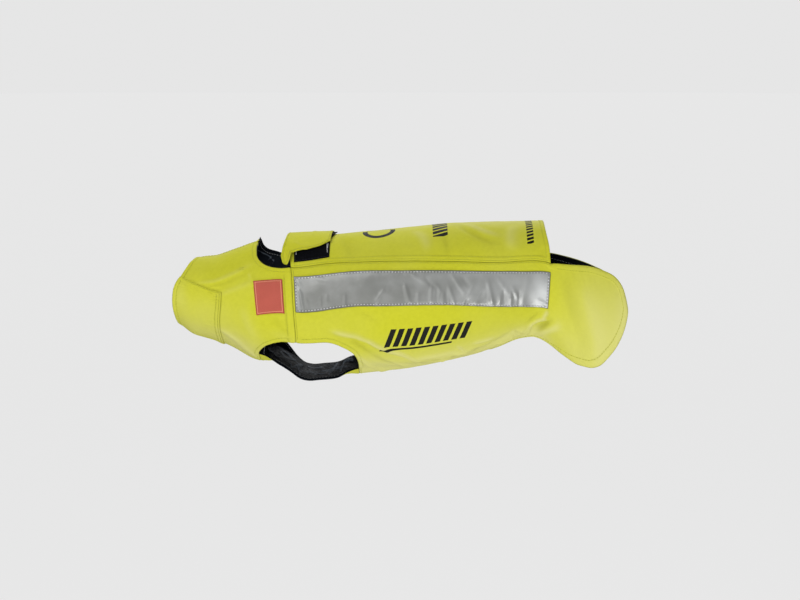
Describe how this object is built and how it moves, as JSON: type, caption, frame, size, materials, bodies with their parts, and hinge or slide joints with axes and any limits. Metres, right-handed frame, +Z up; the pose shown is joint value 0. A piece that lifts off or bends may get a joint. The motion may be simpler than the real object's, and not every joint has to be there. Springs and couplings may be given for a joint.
{
  "type": "dog protection vest",
  "caption": "Hi-vis dog protection vest in its worn hollow form, with neck rim, armholes, chest strap, closing tab, side tapes and rounded flank guards.",
  "frame": {"origin": "on the inside of the back panel, on the midline, where the wearer's back holds the vest up", "axes": "+X along the back towards the tail, +Y to the wearer's right flank, +Z up"},
  "size_m": [0.6218, 0.1786, 0.2211],
  "materials": {
    "yellow_cloth": "matte fluorescent woven cloth",
    "black_lining": "smooth lining with a soft sheen",
    "hook_and_loop": "matte, fuzzy",
    "reflective_tape": "silver satin",
    "red_patch": "matte"
  },
  "bodies": {
    "root": {"front_left": "yellow_cloth", "front_right": "yellow_cloth", "body_left": "yellow_cloth", "body_right": "yellow_cloth", "back_panel": "yellow_cloth", "chest_strap": "yellow_cloth", "throat_guard": "yellow_cloth", "closure_tab": "yellow_cloth", "loop_patch": "hook_and_loop", "hook_patch": "hook_and_loop", "tape_left": "reflective_tape", "tape_right": "reflective_tape", "badge": "red_patch", "lining_front_left": "black_lining", "lining_front_right": "black_lining", "lining_body_left": "black_lining", "lining_body_right": "black_lining", "lining_back": "black_lining", "lining_strap": "black_lining"}
  },
  "joints": []
}
